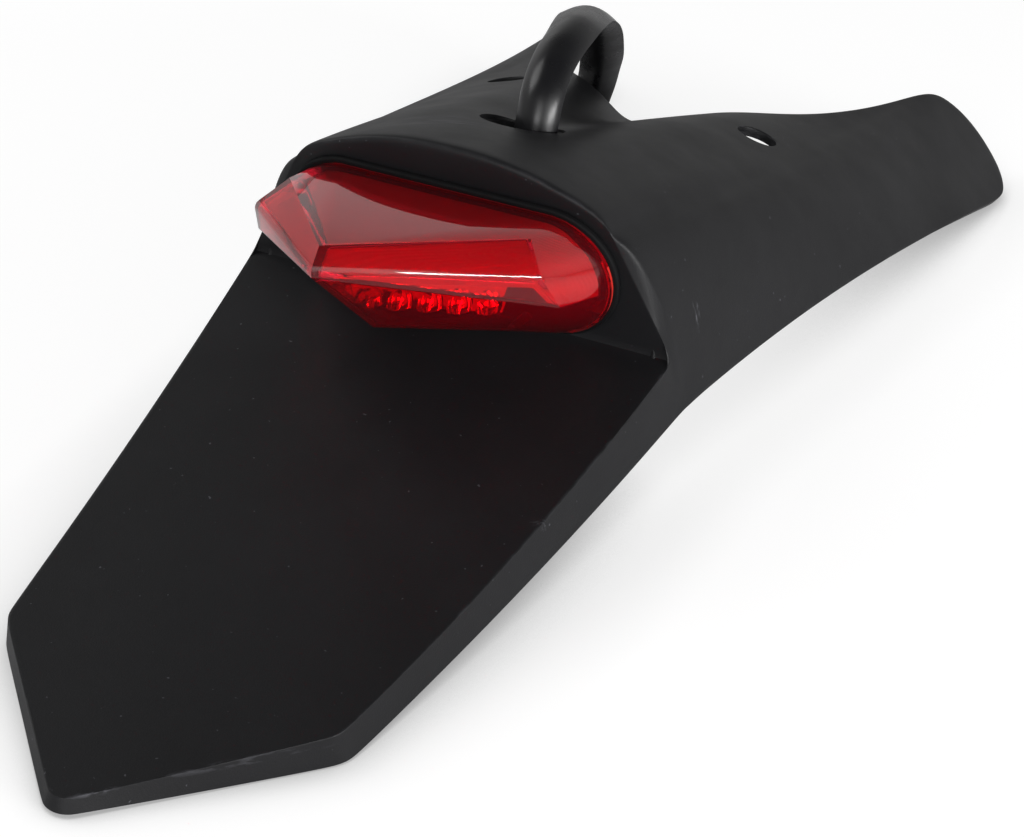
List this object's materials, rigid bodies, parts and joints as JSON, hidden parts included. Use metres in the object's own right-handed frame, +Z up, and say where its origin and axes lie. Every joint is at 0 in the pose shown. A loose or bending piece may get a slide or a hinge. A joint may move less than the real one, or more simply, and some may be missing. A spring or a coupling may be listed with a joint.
{
  "type": "tail tidy",
  "caption": "Motorbike tail tidy: one moulded shell with a pointed plate face, a lamp hump and two drooping wings, fitted with a wedge-shaped red rear lamp and its cable.",
  "frame": {"origin": "centre of the shell's footprint at the surface it rests on", "axes": "+X to the rider's right, +Y forward along the motorbike, towards the wings, +Z up"},
  "size_m": [0.1816, 0.3888, 0.0853],
  "materials": {
    "shell": "fine matte grain",
    "gasket": "satin",
    "lens": "clear red, polished",
    "seal": "matte",
    "lamp_base": "moulded",
    "reflector": "bright",
    "board": "solder-masked",
    "leds": "clear",
    "resistors": "plain",
    "screws": "zinc plated",
    "studs": "zinc plated",
    "washers": "zinc plated",
    "nuts": "zinc plated",
    "grommet": "matte",
    "sleeve": "soft satin",
    "wire_red": "plain",
    "wire_yellow": "plain",
    "wire_black": "plain",
    "bullets": "plain",
    "covers": "clear"
  },
  "bodies": {
    "root": {"tail_shell": "shell", "lamp_gasket": "gasket", "lamp_lens": "lens", "lens_seal": "seal", "lamp_base": "lamp_base", "lamp_reflector": "reflector", "lamp_board": "board", "lamp_leds": "leds", "lamp_resistors": "resistors", "lens_screws": "screws", "lamp_studs": "studs", "stud_washers": "washers", "stud_nuts": "nuts", "cable_grommet": "grommet", "cable_sleeve": "sleeve", "wire_red": "wire_red", "wire_yellow": "wire_yellow", "wire_black": "wire_black", "wire_bullets": "bullets", "bullet_covers": "covers"}
  },
  "joints": []
}
